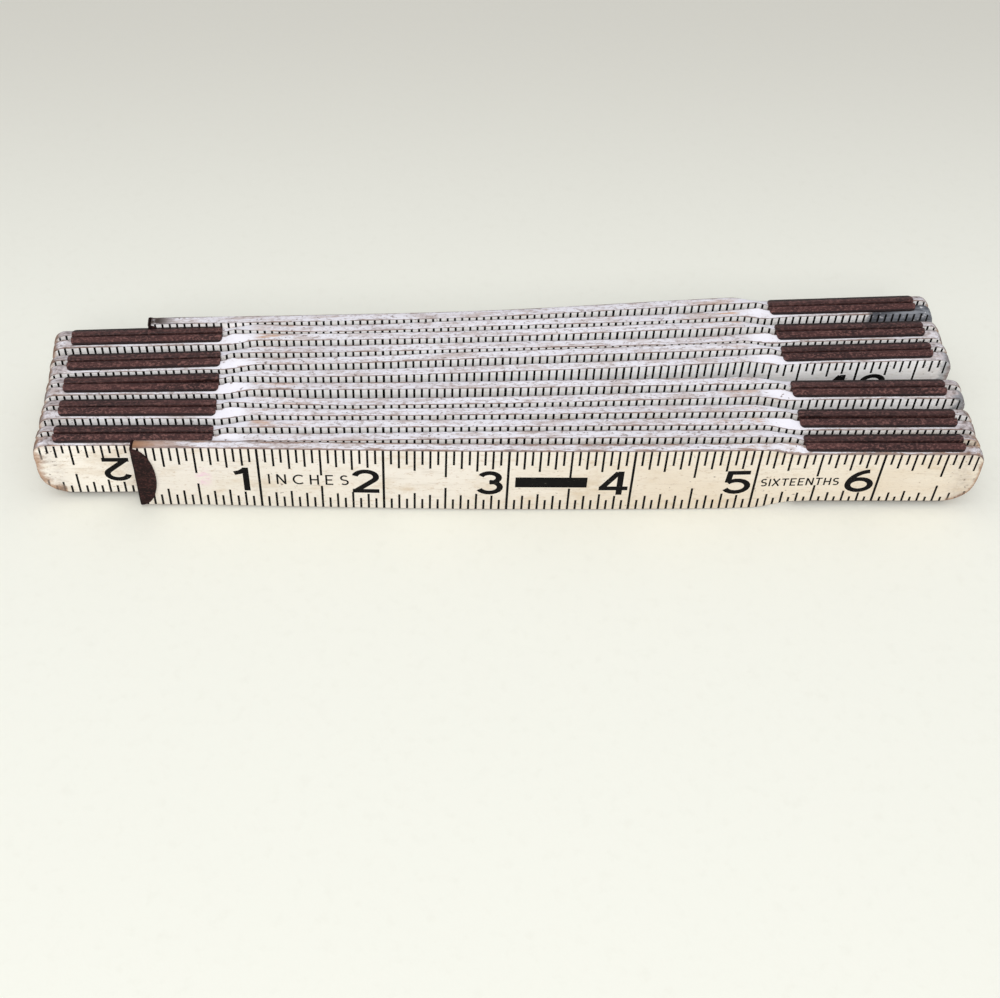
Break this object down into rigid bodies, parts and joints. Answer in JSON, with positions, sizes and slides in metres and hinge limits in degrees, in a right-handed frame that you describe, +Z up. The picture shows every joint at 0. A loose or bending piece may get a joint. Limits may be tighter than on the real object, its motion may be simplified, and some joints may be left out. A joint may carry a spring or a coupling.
{
  "type": "folding rule",
  "caption": "Zig-zag folding rule of flat wooden sections joined by riveted spring joints, folded into a slim stack that stands on its long edge.",
  "frame": {"origin": "centre of the folded rule's footprint, at the ground", "axes": "+X along the sections, with the zero end at -X; +Y through the stack, away from the first section; +Z up, across the sections' width"},
  "size_m": [0.1944, 0.0484, 0.018],
  "materials": {
    "painted_wood": "cream paint over hardwood, worn, black print",
    "plate_metal": "dark brown, tarnished sheet metal",
    "rivet_metal": "dull brass",
    "washer_metal": "spring steel",
    "cap_metal": "dark brown, tarnished sheet metal"
  },
  "bodies": {
    "leaf_01": {"section_01": "painted_wood", "plate_back_01": "plate_metal", "rivet_01": "rivet_metal", "washer_01": "washer_metal", "cap_first": "cap_metal"},
    "leaf_02": {"section_02": "painted_wood", "plate_back_02": "plate_metal", "rivet_02": "rivet_metal", "washer_02": "washer_metal", "plate_front_02": "plate_metal"},
    "leaf_03": {"section_03": "painted_wood", "plate_back_03": "plate_metal", "rivet_03": "rivet_metal", "washer_03": "washer_metal", "plate_front_03": "plate_metal"},
    "leaf_04": {"section_04": "painted_wood", "plate_back_04": "plate_metal", "rivet_04": "rivet_metal", "washer_04": "washer_metal", "plate_front_04": "plate_metal"},
    "leaf_05": {"section_05": "painted_wood", "plate_back_05": "plate_metal", "rivet_05": "rivet_metal", "washer_05": "washer_metal", "plate_front_05": "plate_metal"},
    "leaf_06": {"section_06": "painted_wood", "plate_back_06": "plate_metal", "rivet_06": "rivet_metal", "washer_06": "washer_metal", "plate_front_06": "plate_metal"},
    "leaf_07": {"section_07": "painted_wood", "plate_back_07": "plate_metal", "rivet_07": "rivet_metal", "washer_07": "washer_metal", "plate_front_07": "plate_metal"},
    "leaf_08": {"section_08": "painted_wood", "plate_back_08": "plate_metal", "rivet_08": "rivet_metal", "washer_08": "washer_metal", "plate_front_08": "plate_metal"},
    "leaf_09": {"section_09": "painted_wood", "plate_back_09": "plate_metal", "rivet_09": "rivet_metal", "washer_09": "washer_metal", "plate_front_09": "plate_metal"},
    "leaf_10": {"section_10": "painted_wood", "plate_back_10": "plate_metal", "rivet_10": "rivet_metal", "washer_10": "washer_metal", "plate_front_10": "plate_metal"},
    "leaf_11": {"section_11": "painted_wood", "plate_back_11": "plate_metal", "rivet_11": "rivet_metal", "washer_11": "washer_metal", "plate_front_11": "plate_metal"},
    "leaf_12": {"section_12": "painted_wood", "plate_front_12": "plate_metal", "cap_last": "cap_metal"}
  },
  "joints": [
    {"name": "pivot_01", "type": "hinge", "parent": "leaf_01", "child": "leaf_02", "pos_m": [0.07655, -0.02132, 0.00873], "axis": [0.0003, 1, 0], "range_deg": [-180, 180]},
    {"name": "pivot_02", "type": "hinge", "parent": "leaf_02", "child": "leaf_03", "pos_m": [-0.07586, -0.01821, 0.00873], "axis": [0.0022, -1, 0], "range_deg": [-180, 180]},
    {"name": "pivot_03", "type": "hinge", "parent": "leaf_03", "child": "leaf_04", "pos_m": [0.07653, -0.0143, 0.00873], "axis": [-0.001, 1, 0], "range_deg": [-180, 180]},
    {"name": "pivot_04", "type": "hinge", "parent": "leaf_04", "child": "leaf_05", "pos_m": [-0.07587, -0.0107, 0.00873], "axis": [0.0056, -1, 0], "range_deg": [-180, 180]},
    {"name": "pivot_05", "type": "hinge", "parent": "leaf_05", "child": "leaf_06", "pos_m": [0.07649, -0.00555, 0.00873], "axis": [-0.0109, 0.9999, 0], "range_deg": [-180, 180]},
    {"name": "pivot_06", "type": "hinge", "parent": "leaf_06", "child": "leaf_07", "pos_m": [-0.07594, -0.00363, 0.00873], "axis": [0.0238, -0.9997, 0], "range_deg": [-180, 180]},
    {"name": "pivot_07", "type": "hinge", "parent": "leaf_07", "child": "leaf_08", "pos_m": [0.07622, 0.00555, 0.00873], "axis": [-0.0373, 0.9993, 0], "range_deg": [-180, 180]},
    {"name": "pivot_08", "type": "hinge", "parent": "leaf_08", "child": "leaf_09", "pos_m": [-0.0762, 0.00325, 0.00873], "axis": [0.0373, -0.9993, 0], "range_deg": [-180, 180]},
    {"name": "pivot_09", "type": "hinge", "parent": "leaf_09", "child": "leaf_10", "pos_m": [0.07597, 0.01234, 0.00873], "axis": [-0.0343, 0.9994, 0], "range_deg": [-180, 180]},
    {"name": "pivot_10", "type": "hinge", "parent": "leaf_10", "child": "leaf_11", "pos_m": [-0.07647, 0.01097, 0.00873], "axis": [0.0356, -0.9994, 0], "range_deg": [-180, 180]},
    {"name": "pivot_11", "type": "hinge", "parent": "leaf_11", "child": "leaf_12", "pos_m": [0.07568, 0.02045, 0.00873], "axis": [-0.0423, 0.9991, 0], "range_deg": [-180, 180]}
  ]
}
